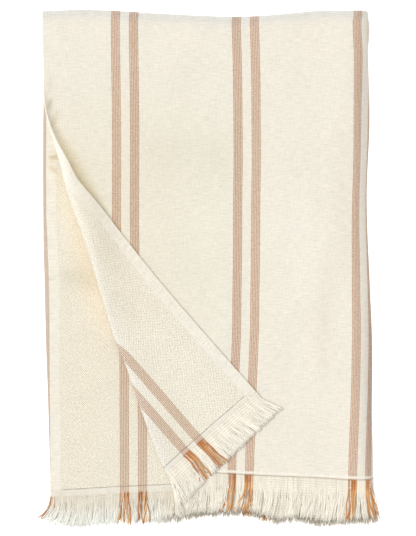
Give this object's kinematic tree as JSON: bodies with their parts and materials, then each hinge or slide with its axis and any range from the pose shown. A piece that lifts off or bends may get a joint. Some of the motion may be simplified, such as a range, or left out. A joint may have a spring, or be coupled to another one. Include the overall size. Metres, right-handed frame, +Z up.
{
  "type": "hammam towel",
  "caption": "Folded flat-woven cotton towel with fringed ends, side hems and one corner turned back over its top layer, lying flat.",
  "frame": {"origin": "on the surface the towel lies on, under the middle of its bounding box", "axes": "+Y from the fringed ends to the fold at the top, +Z up from the surface, +X towards the long fold at the right"},
  "size_m": [0.3709, 0.5592, 0.0289],
  "materials": {
    "cloth": "cream cotton with pairs of narrow copper warp stripes, plain woven on its face and waffled on its reverse",
    "fringe": "loose cotton warp, cream with copper yarns at the ends of the stripes"
  },
  "bodies": {
    "root": {"towel_cloth": "cloth", "fringe_flap": "fringe", "fringe_front": "fringe", "fringe_under": "fringe", "fringe_back_inner": "fringe", "fringe_back_outer": "fringe"}
  },
  "joints": []
}
